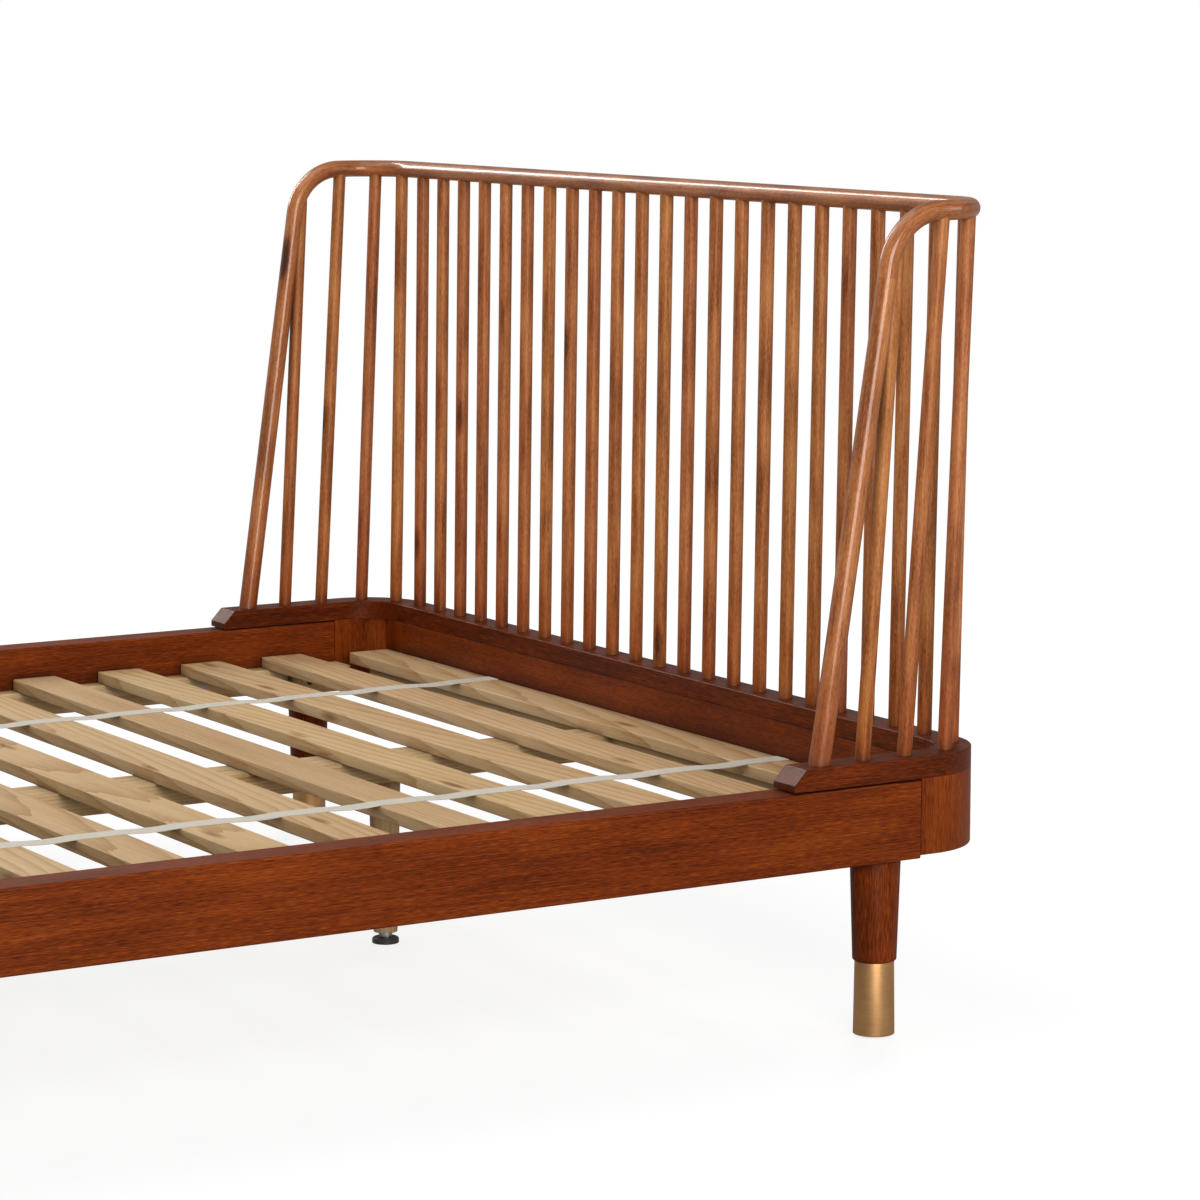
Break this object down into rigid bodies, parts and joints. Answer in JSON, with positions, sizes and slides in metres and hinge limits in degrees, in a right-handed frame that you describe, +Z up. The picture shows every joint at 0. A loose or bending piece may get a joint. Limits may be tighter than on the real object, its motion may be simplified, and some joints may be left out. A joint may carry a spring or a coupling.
{
  "type": "spindle-back platform bed",
  "caption": "Low platform bed in stained wood with rounded corners, brass-tipped tapered legs and a wrap-round headboard of turned spindles under one bent bow.",
  "frame": {"origin": "on the floor, under the middle of the bed", "axes": "+X to the side that the picture shows nearest, +Y to the head end, +Z up"},
  "size_m": [1.66, 2.16, 1.069],
  "materials": {
    "spindle_wood": "stained mahogany, satin lacquer",
    "bow_wood": "stained mahogany, satin lacquer",
    "dowel_wood": "plain beech",
    "cap_wood": "stained mahogany, satin lacquer, worn edges",
    "block_wood": "stained mahogany, upright grain, satin lacquer",
    "rail_wood": "stained mahogany, long grain, satin lacquer",
    "leg_wood": "stained mahogany, turned, satin lacquer",
    "ferrule_brass": "brushed satin brass",
    "glide_nylon": "dark nylon",
    "pad_nylon": "black nylon",
    "zinc_steel": "bright zinc plated",
    "plate_steel": "zinc plated sheet steel",
    "insert_brass": "turned brass",
    "tape_cotton": "woven cotton tape",
    "slat_wood": "plain planed pine",
    "centre_leg_wood": "stained hardwood, turned",
    "cleat_wood": "plain planed hardwood"
  },
  "bodies": {
    "frame": {"back_spindles": "spindle_wood", "bow_bend_left": "bow_wood", "bow_bend_right": "bow_wood", "bow_dowels": "dowel_wood", "bow_post_left": "bow_wood", "bow_post_right": "bow_wood", "bow_top_rail": "bow_wood", "cap_dowels": "dowel_wood", "cap_plate_back": "cap_wood", "cap_plate_left": "cap_wood", "cap_plate_right": "cap_wood", "cap_tongues": "dowel_wood", "centre_beam": "cleat_wood", "centre_leg_1": "centre_leg_wood", "centre_leg_2": "centre_leg_wood", "centre_leg_3": "centre_leg_wood", "corner_dowels": "dowel_wood", "corner_spindle_left": "spindle_wood", "corner_spindle_right": "spindle_wood", "ferrule_foot_left": "ferrule_brass", "ferrule_foot_right": "ferrule_brass", "ferrule_head_left": "ferrule_brass", "ferrule_head_right": "ferrule_brass", "foot_cleat": "cleat_wood", "foot_corner_block_left": "block_wood", "foot_corner_block_right": "block_wood", "foot_rail": "rail_wood", "glides": "glide_nylon", "hanger_bolts": "zinc_steel", "head_cleat": "cleat_wood", "head_corner_block_left": "block_wood", "head_corner_block_right": "block_wood", "head_rail": "rail_wood", "leg_blocks": "cleat_wood", "leg_foot_left": "leg_wood", "leg_foot_right": "leg_wood", "leg_head_left": "leg_wood", "leg_head_right": "leg_wood", "rail_hook_plates": "plate_steel", "rail_socket_plates": "plate_steel", "side_cleat_left": "cleat_wood", "side_cleat_right": "cleat_wood", "side_rail_left": "rail_wood", "side_rail_right": "rail_wood", "slat_tapes": "tape_cotton", "slats": "slat_wood", "threaded_inserts": "insert_brass", "wing_spindle_left_1": "spindle_wood", "wing_spindle_left_2": "spindle_wood", "wing_spindle_left_3": "spindle_wood", "wing_spindle_right_1": "spindle_wood", "wing_spindle_right_2": "spindle_wood", "wing_spindle_right_3": "spindle_wood", "wood_screws": "zinc_steel"},
    "leveller_pad_1": {"leveller_pad_1": "pad_nylon"},
    "leveller_stud_1": {"leveller_stud_1": "zinc_steel"},
    "leveller_pad_2": {"leveller_pad_2": "pad_nylon"},
    "leveller_stud_2": {"leveller_stud_2": "zinc_steel"},
    "leveller_pad_3": {"leveller_pad_3": "pad_nylon"},
    "leveller_stud_3": {"leveller_stud_3": "zinc_steel"}
  },
  "joints": [
    {"name": "leveller_travel_1", "type": "slide", "parent": "frame", "child": "leveller_pad_1", "axis": [0, 0, -1], "range_m": [0, 0.012]},
    {"name": "leveller_turn_1", "type": "hinge", "parent": "leveller_pad_1", "child": "leveller_stud_1", "pos_m": [0, -0.62, 0.03], "axis": [0, 0, -1], "range_deg": [0, 2881]},
    {"name": "leveller_travel_2", "type": "slide", "parent": "frame", "child": "leveller_pad_2", "axis": [0, 0, -1], "range_m": [0, 0.012]},
    {"name": "leveller_turn_2", "type": "hinge", "parent": "leveller_pad_2", "child": "leveller_stud_2", "pos_m": [0, 0, 0.03], "axis": [0, 0, -1], "range_deg": [0, 2881]},
    {"name": "leveller_travel_3", "type": "slide", "parent": "frame", "child": "leveller_pad_3", "axis": [0, 0, -1], "range_m": [0, 0.012]},
    {"name": "leveller_turn_3", "type": "hinge", "parent": "leveller_pad_3", "child": "leveller_stud_3", "pos_m": [0, 0.62, 0.03], "axis": [0, 0, -1], "range_deg": [0, 2881]}
  ],
  "couplings": [
    {"joint": "leveller_turn_1", "follows": "leveller_travel_1", "rad_per_m": 4188.8},
    {"joint": "leveller_turn_2", "follows": "leveller_travel_2", "rad_per_m": 4188.8},
    {"joint": "leveller_turn_3", "follows": "leveller_travel_3", "rad_per_m": 4188.8}
  ]
}
